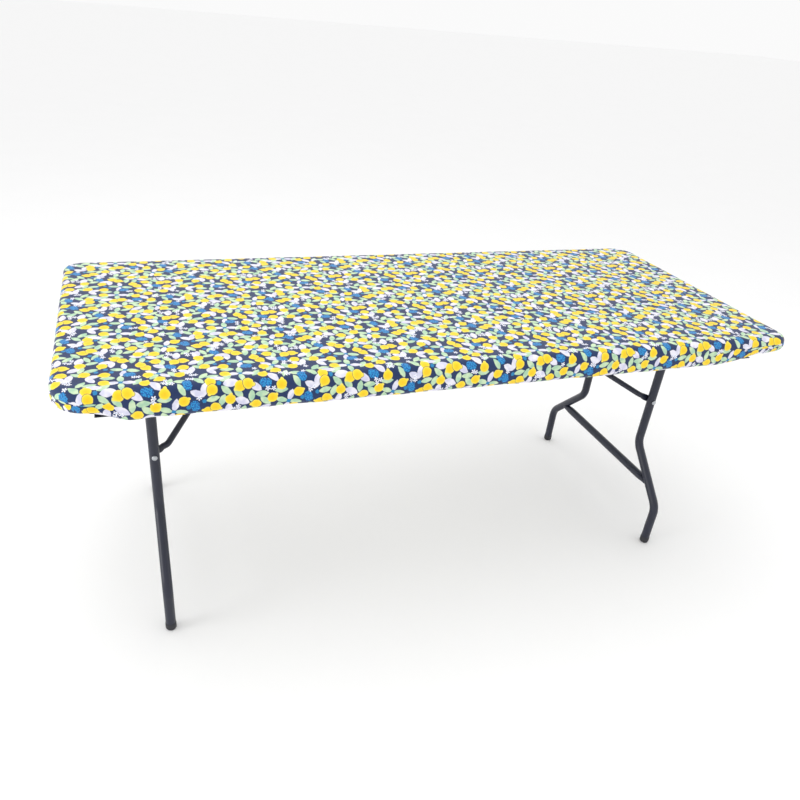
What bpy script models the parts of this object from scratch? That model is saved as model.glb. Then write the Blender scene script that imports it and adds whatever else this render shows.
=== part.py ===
"""Folding table with a fitted, elastic-edged tablecloth.

Metres, +Z up. The origin is on the floor, at the centre of the table. +X runs along the table's
length and -Y is its front. Right and left are the ends at +X and -X.
"""

import math

import bmesh
import bpy
from mathutils import Matrix, Vector

# Table top
TABLE_LENGTH = 1.830
TABLE_WIDTH = 0.762
TABLE_HEIGHT = 0.740
TOP_THICKNESS = 0.0425
CORNER_RADIUS = 0.070
TOP_EDGE_RADIUS = 0.015
UNDER_EDGE_RADIUS = 0.006
RIM_WIDTH = 0.0635
RECESS_DEPTH = 0.008
RECESS_CORNER = 0.020

# Fitted cloth
CLOTH_THICKNESS = 0.002
TUCK_WIDTH = 0.024
TUCK_DEPTH = 0.0245
HEM_WIDTH = 0.0074
HEM_HEIGHT = 0.009
HEM_WALL = 0.001
HEM_SLIT = 0.0012
ELASTIC_CLEARANCE = 0.0004

# Side rails and their screws
RAIL_END_DISTANCE = 0.075
RAIL_INSET = 0.031
RAIL_WIDTH = 0.026
RAIL_LOWER_FLANGE = 0.022
RAIL_HEIGHT = 0.031
RAIL_WALL = 0.002
SCREW_RADIUS = 0.0022
SCREW_LENGTH = 0.020
SCREW_HEAD_RADIUS = 0.0045
SCREW_HEAD_HEIGHT = 0.0025
SCREW_END_DISTANCE = 0.060

# Leg frames
LEG_INSET = 0.1828
TUBE_RADIUS = 0.0127
PIVOT_DROP = 0.020
PIVOT_STUB_RADIUS = 0.0075
PIVOT_STUB_REACH = 0.019
UPPER_LEG_SPREAD = 0.1565
UPPER_BEND_HEIGHT = 0.2835
LOWER_BEND_HEIGHT = 0.1335
LEG_BEND_RADIUS = 0.055
FOLD_CLEARANCE = 0.0033
CROSSBAR_HEIGHT = 0.1875
CROSSBAR_END_HALF_WIDTH = 0.0122
CROSSBAR_END_HALF_HEIGHT = 0.0085
CROSSBAR_TAPER = 0.030
FOOT_WALL = 0.0012
FOOT_SOLE = 0.003
FOOT_HEIGHT = 0.022

# Folding braces
RIVET_DROP = 0.243
RIVET_RADIUS = 0.003
RIVET_HEAD_RADIUS = 0.00675
RIVET_HEAD_HEIGHT = 0.0035
RIVET_TAIL_RADIUS = 0.0055
RIVET_TAIL_HEIGHT = 0.0025
ANCHOR_DISTANCE = 0.160
ANCHOR_DROP = 0.0115
ANCHOR_RADIUS = 0.008
BRACE_RADIUS = 0.008
ARM_LENGTH = 0.148
ARM_BEND_DISTANCE = 0.0373
ARM_BEND_SPREAD = 0.1345
ARM_SLANT = math.radians(56.8)
ARM_BEND_RADIUS = 0.020
MITRE_TURN = math.radians(35)
PLATE_HALF_WIDTH = 0.010
PLATE_THICKNESS = 0.004
PLATE_OVERHANG = 0.010
PLATE_REACH = 0.015
PLATE_TAPER = 0.010
KNEE_HALF_WIDTH = 0.020
KNEE_RADIUS = 0.009
EYE_RADIUS = 0.012
EYE_HALF_WIDTH = 0.015
RING_OUTER_RADIUS = 0.0145
RING_LENGTH = 0.012
RING_PARK_DISTANCE = 0.030

# Fits
TOUCH = 0.0003
HOLE_CLEARANCE = 0.0004
EYE_CLEARANCE = 0.0005

# Fineness of the round shapes
TUBE_SIDES = 12
TURNED_STEPS = 12
BEND_STEPS = 5
CORNER_STEPS = 7
EDGE_STEPS = 4

# Places worked out from the sizes above
HALF_LENGTH = TABLE_LENGTH / 2
HALF_WIDTH = TABLE_WIDTH / 2
TOP_UNDERSIDE = TABLE_HEIGHT - TOP_THICKNESS
RAIL_LENGTH = TABLE_LENGTH - 2 * RAIL_END_DISTANCE
RAIL_TOP = TOP_UNDERSIDE - TOUCH
RAIL_BOTTOM = RAIL_TOP - RAIL_HEIGHT
RAIL_OUTER = HALF_WIDTH - RAIL_INSET
RAIL_INNER = RAIL_OUTER - RAIL_WIDTH
PIVOT_X = HALF_LENGTH - LEG_INSET
PIVOT_Z = TOP_UNDERSIDE - PIVOT_DROP
FOOT_RADIUS = TUBE_RADIUS + TOUCH + FOOT_WALL
LOWER_LEG_SPREAD = RAIL_INNER - FOLD_CLEARANCE - FOOT_RADIUS
RIVET_Z = PIVOT_Z - RIVET_DROP
ANCHOR_Z = TOP_UNDERSIDE - ANCHOR_DROP
LEG_INNER_FACE = UPPER_LEG_SPREAD - TUBE_RADIUS
CLOTH_OFFSET = TOUCH + CLOTH_THICKNESS


# --- materials -------------------------------------------------------------------------------


def linear_colour(hex_colour):
    channels = [int(hex_colour[start : start + 2], 16) / 255 for start in (0, 2, 4)]
    return [c / 12.92 if c <= 0.04045 else ((c + 0.055) / 1.055) ** 2.4 for c in channels] + [1.0]


def surface(name, hex_colour, roughness, metallic=0.0):
    """A Principled BSDF material."""
    made = bpy.data.materials.new(name)
    made.use_nodes = True
    shader = made.node_tree.nodes["Principled BSDF"]
    shader.inputs["Base Color"].default_value = linear_colour(hex_colour)
    shader.inputs["Roughness"].default_value = roughness
    shader.inputs["Metallic"].default_value = metallic
    made.diffuse_color = linear_colour(hex_colour)
    return made


# --- building blocks -------------------------------------------------------------------------


def finished(name, bm, material, parent):
    """Turns a bmesh in world coordinates into a smooth-shaded object under its parent empty."""
    bmesh.ops.recalc_face_normals(bm, faces=bm.faces)
    mesh = bpy.data.meshes.new(name)
    bm.to_mesh(mesh)
    bm.free()
    mesh.shade_smooth()
    mesh.set_sharp_from_angle(angle=math.radians(35))
    mesh.materials.append(material)
    made = bpy.data.objects.new(name, mesh)
    bpy.context.collection.objects.link(made)
    made.parent = parent
    made.location = -world_place(parent)
    return made


def world_place(empty):
    """Where an empty is in the world. Empties are only moved, never turned."""
    place = Vector(empty.location)
    while empty.parent:
        empty = empty.parent
        place += empty.location
    return place


def joint_empty(name, place, parent=None):
    made = bpy.data.objects.new(name, None)
    made.empty_display_size = 0.05
    made.parent = parent
    made.location = Vector(place) - (world_place(parent) if parent else Vector())
    bpy.context.collection.objects.link(made)
    return made


def skinned(rings, closed=False):
    """A surface through rings of points, capped at both ends unless its last ring meets its first."""
    bm = bmesh.new()
    rows = [[bm.verts.new(point) for point in ring] for ring in rings]
    following = rows[1:] + rows[:1] if closed else rows[1:]
    for row, after in zip(rows, following):
        for index in range(len(row)):
            neighbour = (index + 1) % len(row)
            bm.faces.new((row[index], row[neighbour], after[neighbour], after[index]))
    if not closed:
        bm.faces.new(rows[0])
        bm.faces.new(rows[-1])
    return bm


def rounded_rectangle(half_length, half_width, radius, height):
    points = []
    for corner, (side_x, side_y) in enumerate(((1, 1), (-1, 1), (-1, -1), (1, -1))):
        centre_x = side_x * (half_length - radius)
        centre_y = side_y * (half_width - radius)
        for step in range(CORNER_STEPS + 1):
            angle = math.pi / 2 * (corner + step / CORNER_STEPS)
            points.append(
                (centre_x + radius * math.cos(angle), centre_y + radius * math.sin(angle), height)
            )
    return points


def table_rings(profile, outset=0.0):
    """Rings round the table. A profile point is its inset from the edge and its height."""
    rings = []
    for inset, height in profile:
        grow = outset - inset
        radius = max(CORNER_RADIUS + grow, RECESS_CORNER)
        rings.append(rounded_rectangle(HALF_LENGTH + grow, HALF_WIDTH + grow, radius, height))
    return rings


def arc(centre, radius_across, radius_up, start, end, steps):
    """Profile points on an elliptical arc, with angles in degrees measured from outwards to up."""
    points = []
    for step in range(steps + 1):
        angle = math.radians(start + (end - start) * step / steps)
        points.append(
            (centre[0] - radius_across * math.cos(angle), centre[1] + radius_up * math.sin(angle))
        )
    return points


def turned(profile, centre, axis, closed=False):
    """A shape turned about an axis through centre. A profile point is radius and distance along."""
    bm = bmesh.new()
    verts = [bm.verts.new((radius, 0.0, along)) for radius, along in profile]
    pairs = list(zip(verts, verts[1:])) + ([(verts[-1], verts[0])] if closed else [])
    edges = [bm.edges.new(pair) for pair in pairs]
    bmesh.ops.spin(
        bm,
        geom=verts + edges,
        cent=(0, 0, 0),
        axis=(0, 0, 1),
        angle=2 * math.pi,
        steps=TURNED_STEPS,
        use_merge=True,
        use_duplicate=False,
    )
    bmesh.ops.remove_doubles(bm, verts=bm.verts, dist=1e-6)
    turn = Vector((0, 0, 1)).rotation_difference(Vector(axis)).to_matrix().to_4x4()
    bmesh.ops.transform(bm, matrix=Matrix.Translation(centre) @ turn, verts=bm.verts)
    return bm


def rod(radius, start, end):
    """A round bar between two points."""
    start = Vector(start)
    length = (Vector(end) - start).length
    return turned([(0, 0), (radius, 0), (radius, length), (0, length)], start, Vector(end) - start)


def bent_path(corners, bend_radius):
    """Stations along a bent bar. A corner or station is a point and its two half sizes.

    A corner that turns by less than the mitre turn stays one station, as where a tube flattens.
    """
    stations = [corners[0]]
    for (before, *_), (corner, *sizes), (after, *_) in zip(corners, corners[1:], corners[2:]):
        into = (corner - before).normalized()
        out = (after - corner).normalized()
        turn = into.angle(out)
        if turn < MITRE_TURN:
            stations.append((corner, *sizes))
            continue
        reach = bend_radius * math.tan(turn / 2)
        centre = corner + (out - into).normalized() * bend_radius / math.cos(turn / 2)
        first = (corner - into * reach - centre).normalized()
        last = (corner + out * reach - centre).normalized()
        for step in range(BEND_STEPS + 1):
            spoke = first.slerp(last, step / BEND_STEPS)
            stations.append((centre + spoke * bend_radius, *sizes))
    stations.append(corners[-1])
    return stations


def swept(stations, side):
    """An oval bar through stations. Its first half size lies along side, its second across it."""
    side = Vector(side).normalized()
    points = [station[0] for station in stations]
    rings = []
    for index, (point, along_side, across_side) in enumerate(stations):
        tangent = Vector()
        if index > 0:
            tangent += (point - points[index - 1]).normalized()
        if index < len(points) - 1:
            tangent += (points[index + 1] - point).normalized()
        across = tangent.normalized().cross(side)
        ring = []
        for step in range(TUBE_SIDES):
            angle = 2 * math.pi * step / TUBE_SIDES
            ring.append(
                point
                + side * along_side * math.cos(angle)
                + across * across_side * math.sin(angle)
            )
        rings.append(ring)
    return skinned(rings)


def combined(target, bm, operation):
    """Joins a bmesh to an object or cuts it away, with a hidden object and a Boolean."""
    name = f"{target.name}_{operation.lower()}"
    helper = finished(name, bm, target.data.materials[0], target.parent)
    helper.hide_render = True
    helper.display_type = "WIRE"
    modifier = target.modifiers.new(helper.name, "BOOLEAN")
    modifier.operation = operation
    modifier.solver = "EXACT"
    modifier.object = helper


# --- table top, rails and screws -------------------------------------------------------------


def make_table_top(material, parent):
    top = TABLE_HEIGHT
    profile = [(RIM_WIDTH + RECESS_DEPTH, TOP_UNDERSIDE + RECESS_DEPTH), (RIM_WIDTH, TOP_UNDERSIDE)]
    under = (UNDER_EDGE_RADIUS, TOP_UNDERSIDE + UNDER_EDGE_RADIUS)
    profile += arc(under, UNDER_EDGE_RADIUS, UNDER_EDGE_RADIUS, -90, 0, EDGE_STEPS)
    upper = (TOP_EDGE_RADIUS, top - TOP_EDGE_RADIUS)
    profile += arc(upper, TOP_EDGE_RADIUS, TOP_EDGE_RADIUS, 0, 90, EDGE_STEPS)
    made = finished("table_top", skinned(table_rings(profile)), material, parent)
    for place in screw_places():
        start = place - Vector((0, 0, TOUCH))
        hole = rod(SCREW_RADIUS + HOLE_CLEARANCE, start, place + Vector((0, 0, SCREW_LENGTH)))
        combined(made, hole, "DIFFERENCE")


def screw_places():
    """Where the rail screws enter the underside of the top."""
    reach = RAIL_LENGTH / 2 - SCREW_END_DISTANCE
    across = RAIL_OUTER - (RAIL_WIDTH - RAIL_WALL) / 2
    return [Vector((x, side * across, TOP_UNDERSIDE)) for side in (-1, 1) for x in (-reach, 0, reach)]


def make_rail(name, side, material, parent):
    """A C channel, open outwards, with its web towards the middle of the table."""
    upper_edge = RAIL_OUTER
    lower_edge = RAIL_INNER + RAIL_LOWER_FLANGE
    web = RAIL_INNER + RAIL_WALL
    section = [
        (RAIL_INNER, RAIL_BOTTOM),
        (lower_edge, RAIL_BOTTOM),
        (lower_edge, RAIL_BOTTOM + RAIL_WALL),
        (web, RAIL_BOTTOM + RAIL_WALL),
        (web, RAIL_TOP - RAIL_WALL),
        (upper_edge, RAIL_TOP - RAIL_WALL),
        (upper_edge, RAIL_TOP),
        (RAIL_INNER, RAIL_TOP),
    ]
    rings = [[(x, side * y, z) for y, z in section] for x in (-RAIL_LENGTH / 2, RAIL_LENGTH / 2)]
    made = finished(name, skinned(rings), material, parent)
    for x in (-PIVOT_X, PIVOT_X):
        radius = PIVOT_STUB_RADIUS + HOLE_CLEARANCE
        start = (x, side * (RAIL_INNER - RAIL_WALL), PIVOT_Z)
        end = (x, side * (web + RAIL_WALL), PIVOT_Z)
        combined(made, rod(radius, start, end), "DIFFERENCE")
    for place in screw_places():
        if place.y * side > 0:
            start = place - Vector((0, 0, TOUCH + 2 * RAIL_WALL))
            hole = rod(SCREW_RADIUS + HOLE_CLEARANCE, start, place + Vector((0, 0, RAIL_WALL)))
            combined(made, hole, "DIFFERENCE")


def make_screw(name, place, material, parent):
    under_flange = -TOUCH - RAIL_WALL - TOUCH
    profile = [
        (0, under_flange - SCREW_HEAD_HEIGHT),
        (SCREW_HEAD_RADIUS * 0.7, under_flange - SCREW_HEAD_HEIGHT),
        (SCREW_HEAD_RADIUS, under_flange - SCREW_HEAD_HEIGHT / 2),
        (SCREW_HEAD_RADIUS, under_flange),
        (SCREW_RADIUS, under_flange),
        (SCREW_RADIUS, SCREW_LENGTH - 2 * SCREW_RADIUS),
        (0, SCREW_LENGTH - TOUCH),
    ]
    finished(name, turned(profile, place, (0, 0, 1)), material, parent)


# --- fitted cloth ----------------------------------------------------------------------------


def make_cloth_panel(material, parent):
    """The printed panel: flat on the top, over its rounded edge, and tucked in below it."""
    surface_height = TABLE_HEIGHT + CLOTH_OFFSET
    outer_radius = TOP_EDGE_RADIUS + CLOTH_OFFSET
    inner_radius = TOP_EDGE_RADIUS + TOUCH
    edge = (outer_radius, surface_height - outer_radius)
    tuck = (TUCK_WIDTH, TOP_UNDERSIDE)
    outside = arc(edge, outer_radius, outer_radius, 90, 0, EDGE_STEPS)
    outside += arc(tuck, TUCK_WIDTH, TUCK_DEPTH, 0, -90, EDGE_STEPS)
    inside = arc(
        tuck, TUCK_WIDTH - CLOTH_THICKNESS, TUCK_DEPTH - CLOTH_THICKNESS, -90, 0, EDGE_STEPS
    )
    inside += arc(edge, inner_radius, inner_radius, 0, 90, EDGE_STEPS)
    rings = table_rings(outside + inside, outset=CLOTH_OFFSET)
    finished("cloth_panel", skinned(rings), material, parent)


def hem_corner():
    """Inset and height of the hem casing's lower outer corner, next to the panel's tucked edge."""
    return TUCK_WIDTH + TOUCH, TOP_UNDERSIDE - TUCK_DEPTH - HEM_WALL


def make_hem_casing(material, parent):
    """The folded hem: a channel round the elastic, open along a slit at its inner upper corner."""
    left, low = hem_corner()
    right = left + HEM_WIDTH
    high = low + HEM_HEIGHT
    lip = right - 2 * HEM_WALL
    outer = [(lip - HEM_SLIT, high), (left, high), (left, low), (right, low), (right, high), (lip, high)]
    inner = [
        (lip, high - HEM_WALL),
        (right - HEM_WALL, high - HEM_WALL),
        (right - HEM_WALL, low + HEM_WALL),
        (left + HEM_WALL, low + HEM_WALL),
        (left + HEM_WALL, high - HEM_WALL),
        (lip - HEM_SLIT, high - HEM_WALL),
    ]
    rings = table_rings(outer + inner + outer[:1], outset=CLOTH_OFFSET)[:-1]
    finished("hem_casing", skinned(rings, closed=True), material, parent)


def make_hem_elastic(material, parent):
    left, low = hem_corner()
    margin = HEM_WALL + ELASTIC_CLEARANCE
    section = [
        (left + margin, low + margin),
        (left + HEM_WIDTH - margin, low + margin),
        (left + HEM_WIDTH - margin, low + HEM_HEIGHT - margin),
        (left + margin, low + HEM_HEIGHT - margin),
    ]
    rings = table_rings(section, outset=CLOTH_OFFSET)
    finished("hem_elastic", skinned(rings, closed=True), material, parent)


# --- leg frames ------------------------------------------------------------------------------


def leg_path(end_x, side, radius, low):
    """Centre line of a bent leg, from the pivot tube down to its foot."""
    heights = (PIVOT_Z, UPPER_BEND_HEIGHT, LOWER_BEND_HEIGHT, low)
    spreads = (UPPER_LEG_SPREAD, UPPER_LEG_SPREAD, LOWER_LEG_SPREAD, LOWER_LEG_SPREAD)
    corners = [
        (Vector((end_x, side * spread, height)), radius, radius)
        for spread, height in zip(spreads, heights)
    ]
    return bent_path(corners, LEG_BEND_RADIUS)


def make_pivot_tube(name, end_x, material, parent):
    shoulder = RAIL_INNER - TOUCH
    reach = RAIL_INNER + PIVOT_STUB_REACH
    profile = [
        (0, -reach),
        (PIVOT_STUB_RADIUS, -reach),
        (PIVOT_STUB_RADIUS, -shoulder),
        (TUBE_RADIUS, -shoulder),
        (TUBE_RADIUS, shoulder),
        (PIVOT_STUB_RADIUS, shoulder),
        (PIVOT_STUB_RADIUS, reach),
        (0, reach),
    ]
    finished(name, turned(profile, (end_x, 0, PIVOT_Z), (0, 1, 0)), material, parent)


def make_leg(name, end_x, side, material, parent):
    bm = swept(leg_path(end_x, side, TUBE_RADIUS, FOOT_SOLE + TOUCH), (1, 0, 0))
    made = finished(name, bm, material, parent)
    reach = side * (UPPER_LEG_SPREAD + 2 * TUBE_RADIUS)
    saddle = rod(TUBE_RADIUS + TOUCH, (end_x, 0, PIVOT_Z), (end_x, reach, PIVOT_Z))
    combined(made, saddle, "DIFFERENCE")
    hole = rod(RIVET_RADIUS + TOUCH, (end_x, 0, RIVET_Z), (end_x, reach, RIVET_Z))
    combined(made, hole, "DIFFERENCE")


def make_crossbar(name, end_x, material, parent):
    """The lower crossbar, its ends flattened and notched round the slanting part of each leg."""
    share = (UPPER_BEND_HEIGHT - CROSSBAR_HEIGHT) / (UPPER_BEND_HEIGHT - LOWER_BEND_HEIGHT)
    reach = UPPER_LEG_SPREAD + share * (LOWER_LEG_SPREAD - UPPER_LEG_SPREAD)
    flat = reach - TUBE_RADIUS
    stations = []
    for y, half_width, half_height in (
        (-reach, CROSSBAR_END_HALF_WIDTH, CROSSBAR_END_HALF_HEIGHT),
        (-flat, CROSSBAR_END_HALF_WIDTH, CROSSBAR_END_HALF_HEIGHT),
        (CROSSBAR_TAPER - flat, TUBE_RADIUS, TUBE_RADIUS),
        (flat - CROSSBAR_TAPER, TUBE_RADIUS, TUBE_RADIUS),
        (flat, CROSSBAR_END_HALF_WIDTH, CROSSBAR_END_HALF_HEIGHT),
        (reach, CROSSBAR_END_HALF_WIDTH, CROSSBAR_END_HALF_HEIGHT),
    ):
        stations.append((Vector((end_x, y, CROSSBAR_HEIGHT)), half_width, half_height))
    made = finished(name, swept(stations, (1, 0, 0)), material, parent)
    for side in (-1, 1):
        notch = swept(leg_path(end_x, side, TUBE_RADIUS + TOUCH, FOOT_SOLE), (1, 0, 0))
        combined(made, notch, "DIFFERENCE")


def make_foot(name, end_x, side, material, parent):
    bore = TUBE_RADIUS + TOUCH
    profile = [
        (0, 0),
        (FOOT_RADIUS - FOOT_SOLE / 2, 0),
        (FOOT_RADIUS, FOOT_SOLE / 2),
        (FOOT_RADIUS, FOOT_HEIGHT),
        (bore, FOOT_HEIGHT),
        (bore, FOOT_SOLE),
        (0, FOOT_SOLE),
    ]
    place = (end_x, side * LOWER_LEG_SPREAD, 0)
    finished(name, turned(profile, place, (0, 0, 1)), material, parent)


def make_leg_rivet(name, end_x, side, material, parent):
    """From the tail inside the brace plate, through plate and leg, to the domed outer head."""
    tail = LEG_INNER_FACE - TOUCH - PLATE_THICKNESS - TOUCH
    seat = UPPER_LEG_SPREAD + TUBE_RADIUS + TOUCH
    profile = [
        (0, tail - RIVET_TAIL_HEIGHT),
        (RIVET_TAIL_RADIUS, tail - RIVET_TAIL_HEIGHT),
        (RIVET_TAIL_RADIUS, tail),
        (RIVET_RADIUS, tail),
        (RIVET_RADIUS, seat),
    ]
    profile += dome(RIVET_HEAD_RADIUS, RIVET_HEAD_HEIGHT, seat)
    finished(name, turned(profile, (end_x, 0, RIVET_Z), (0, side, 0)), material, parent)


def dome(radius, height, seat):
    """Profile of a rivet head, from its rim on the seat up to the axis."""
    points = []
    for step in range(EDGE_STEPS + 1):
        angle = math.pi / 2 * step / EDGE_STEPS
        points.append((radius * math.cos(angle), seat + height * math.sin(angle)))
    points[-1] = (0, seat + height)
    return points


# --- folding braces --------------------------------------------------------------------------


def brace_axes(end):
    """The leg rivet's point on the middle line, and the brace's direction up to its anchor."""
    start = Vector((end * PIVOT_X, 0, RIVET_Z))
    anchor = Vector((end * ANCHOR_DISTANCE, 0, ANCHOR_Z))
    return start, (anchor - start).normalized(), anchor


def make_brace_arm(name, end, side, material, parent):
    """A tube flattened at both ends: on the leg's rivet, and on the knee.

    Its flats run on into the tube's side next to the leg and next to the knee barrel, so that the
    leg and the barrel have room to swing past it.
    """
    start, along, _ = brace_axes(end)
    plate = PLATE_THICKNESS / 2
    leg_face = LEG_INNER_FACE - TOUCH
    knee_face = KNEE_HALF_WIDTH + TOUCH
    knee_tube_spread = knee_face + BRACE_RADIUS
    slant_end = ARM_BEND_DISTANCE + (ARM_BEND_SPREAD - knee_tube_spread) / math.tan(ARM_SLANT)
    flat = (PLATE_HALF_WIDTH, plate)
    full = (BRACE_RADIUS, BRACE_RADIUS)
    route = (
        (-PLATE_OVERHANG, leg_face - plate, flat),
        (PLATE_REACH, leg_face - plate, flat),
        (PLATE_REACH + PLATE_TAPER, leg_face - BRACE_RADIUS, full),
        (ARM_BEND_DISTANCE, ARM_BEND_SPREAD, full),
        (slant_end, knee_tube_spread, full),
        (ARM_LENGTH - PLATE_REACH - PLATE_TAPER, knee_tube_spread, full),
        (ARM_LENGTH - PLATE_REACH, knee_face + plate, flat),
        (ARM_LENGTH + PLATE_OVERHANG, knee_face + plate, flat),
    )
    corners = []
    for distance, spread, sizes in route:
        corners.append((start + along * distance + Vector((0, side * spread, 0)), *sizes))
    path = bent_path(corners, ARM_BEND_RADIUS)
    made = finished(name, swept(path, along.cross((0, 1, 0))), material, parent)
    for distance in (0, ARM_LENGTH):
        middle = start + along * distance
        outer = middle + Vector((0, side * UPPER_LEG_SPREAD, 0))
        combined(made, rod(RIVET_RADIUS + HOLE_CLEARANCE, middle, outer), "DIFFERENCE")


def make_knee_rivet(name, end, side, material, parent):
    start, along, _ = brace_axes(end)
    face = KNEE_HALF_WIDTH + TOUCH
    seat = face + PLATE_THICKNESS + TOUCH
    profile = [(0, face), (RIVET_RADIUS, face), (RIVET_RADIUS, seat)]
    profile += dome(RIVET_HEAD_RADIUS, RIVET_HEAD_HEIGHT, seat)
    finished(name, turned(profile, start + along * ARM_LENGTH, (0, side, 0)), material, parent)


def make_brace_link(name, end, material, parent):
    """A bar from the knee barrel to the eye round the anchor bar."""
    start, along, anchor = brace_axes(end)
    knee = start + along * ARM_LENGTH
    across = Vector((0, 1, 0))
    stations = [(knee, BRACE_RADIUS, BRACE_RADIUS), (anchor, BRACE_RADIUS, BRACE_RADIUS)]
    made = finished(name, swept(stations, across), material, parent)
    barrel = rod(KNEE_RADIUS, knee - across * KNEE_HALF_WIDTH, knee + across * KNEE_HALF_WIDTH)
    combined(made, barrel, "UNION")
    eye = rod(EYE_RADIUS, anchor - across * EYE_HALF_WIDTH, anchor + across * EYE_HALF_WIDTH)
    combined(made, eye, "UNION")
    for place, radius in (
        (knee, RIVET_RADIUS + HOLE_CLEARANCE),
        (anchor, ANCHOR_RADIUS + EYE_CLEARANCE),
    ):
        hole = rod(radius, place - across * 2 * KNEE_HALF_WIDTH, place + across * 2 * KNEE_HALF_WIDTH)
        combined(made, hole, "DIFFERENCE")


def make_knee_pin(name, end, material, parent):
    start, along, _ = brace_axes(end)
    knee = start + along * ARM_LENGTH
    across = Vector((0, KNEE_HALF_WIDTH - TOUCH, 0))
    finished(name, rod(RIVET_RADIUS, knee - across, knee + across), material, parent)


def make_lock_ring(name, end, material, parent):
    """A loose ring on the link, parked just clear of the knee."""
    start, along, _ = brace_axes(end)
    bore = BRACE_RADIUS + HOLE_CLEARANCE
    low = ARM_LENGTH + RING_PARK_DISTANCE - RING_LENGTH / 2
    profile = [
        (bore, low),
        (RING_OUTER_RADIUS, low),
        (RING_OUTER_RADIUS, low + RING_LENGTH),
        (bore, low + RING_LENGTH),
    ]
    finished(name, turned(profile, start, along, closed=True), material, parent)


def make_anchor_bar(name, end, material, parent):
    reach = RAIL_INNER - TOUCH
    start = (end * ANCHOR_DISTANCE, -reach, ANCHOR_Z)
    finished(name, rod(ANCHOR_RADIUS, start, (end * ANCHOR_DISTANCE, reach, ANCHOR_Z)), material, parent)


# --- assembly --------------------------------------------------------------------------------


def make_table(materials):
    table = joint_empty("table", (0, 0, 0))
    make_table_top(materials["top"], table)
    make_rail("rail_front", -1, materials["steel"], table)
    make_rail("rail_back", 1, materials["steel"], table)
    labels = [f"{side}_{place}" for side in ("front", "back") for place in ("left", "middle", "right")]
    for label, place in zip(labels, screw_places()):
        make_screw(f"rail_screw_{label}", place, materials["zinc"], table)
    make_cloth_panel(materials["cloth"], table)
    make_hem_casing(materials["hem"], table)
    make_hem_elastic(materials["elastic"], table)
    return table


def make_end(label, end, materials, table):
    """The folding leg frame and brace of one end of the table."""
    end_x = end * PIVOT_X
    steel, zinc = materials["steel"], materials["zinc"]
    start, _, anchor = brace_axes(end)
    frame = joint_empty(f"{label}_leg_fold", (end_x, 0, PIVOT_Z), table)
    arms = joint_empty(f"{label}_brace_fold", start, frame)
    link = joint_empty(f"{label}_link_fold", anchor, table)
    ring = joint_empty(f"{label}_ring_slide", anchor, link)
    make_anchor_bar(f"{label}_anchor_bar", end, steel, table)
    make_pivot_tube(f"{label}_pivot_tube", end_x, steel, frame)
    make_crossbar(f"{label}_crossbar", end_x, steel, frame)
    make_brace_link(f"{label}_brace_link", end, steel, link)
    make_knee_pin(f"{label}_knee_pin", end, zinc, link)
    make_lock_ring(f"{label}_lock_ring", end, zinc, ring)
    for where, side in (("front", -1), ("back", 1)):
        make_leg(f"{label}_leg_{where}", end_x, side, steel, frame)
        make_foot(f"{label}_foot_{where}", end_x, side, materials["foot"], frame)
        make_leg_rivet(f"{label}_leg_rivet_{where}", end_x, side, zinc, frame)
        make_brace_arm(f"{label}_brace_arm_{where}", end, side, steel, arms)
        make_knee_rivet(f"{label}_knee_rivet_{where}", end, side, zinc, arms)


def main():
    for old in list(bpy.data.objects):
        bpy.data.objects.remove(old, do_unlink=True)
    materials = {
        "cloth": surface("printed_polyester", "3D4A6B", 0.75),
        "hem": surface("hem_fabric", "C9CDD6", 0.80),
        "elastic": surface("elastic_braid", "E8E8E6", 0.85),
        "top": surface("moulded_hdpe", "DADAD4", 0.55),
        "steel": surface("powder_coated_steel", "3A3D46", 0.45),
        "zinc": surface("zinc_plate", "B9BCC0", 0.35, metallic=1.0),
        "foot": surface("foot_plastic", "1C1D20", 0.55),
    }
    table = make_table(materials)
    make_end("right", 1, materials, table)
    make_end("left", -1, materials, table)


main()
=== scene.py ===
"""A fitted, elastic-edged tablecloth on its folding table.

Metres, +Z up. +X runs along the table's length and -Y is its front. Right and left are the ends at
+X and -X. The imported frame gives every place, and these pieces give the surfaces.
"""

import math
import random

import bpy
import numpy as np
from mathutils import Matrix, Vector


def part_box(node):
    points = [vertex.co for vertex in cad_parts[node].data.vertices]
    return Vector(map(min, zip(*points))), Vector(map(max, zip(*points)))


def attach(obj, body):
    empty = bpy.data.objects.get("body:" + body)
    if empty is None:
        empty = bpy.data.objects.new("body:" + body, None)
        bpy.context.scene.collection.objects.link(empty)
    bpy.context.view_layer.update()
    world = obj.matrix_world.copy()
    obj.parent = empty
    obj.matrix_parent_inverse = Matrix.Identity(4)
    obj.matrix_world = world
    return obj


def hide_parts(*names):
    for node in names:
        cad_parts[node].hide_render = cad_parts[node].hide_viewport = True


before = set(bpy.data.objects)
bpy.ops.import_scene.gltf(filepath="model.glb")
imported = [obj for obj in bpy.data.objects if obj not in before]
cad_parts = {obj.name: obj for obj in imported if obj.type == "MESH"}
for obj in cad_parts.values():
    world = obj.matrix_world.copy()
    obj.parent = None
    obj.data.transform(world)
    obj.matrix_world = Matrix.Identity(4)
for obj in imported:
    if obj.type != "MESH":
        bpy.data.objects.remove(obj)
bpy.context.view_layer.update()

# --- sizes -------------------------------------------------------------------------------------

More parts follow.
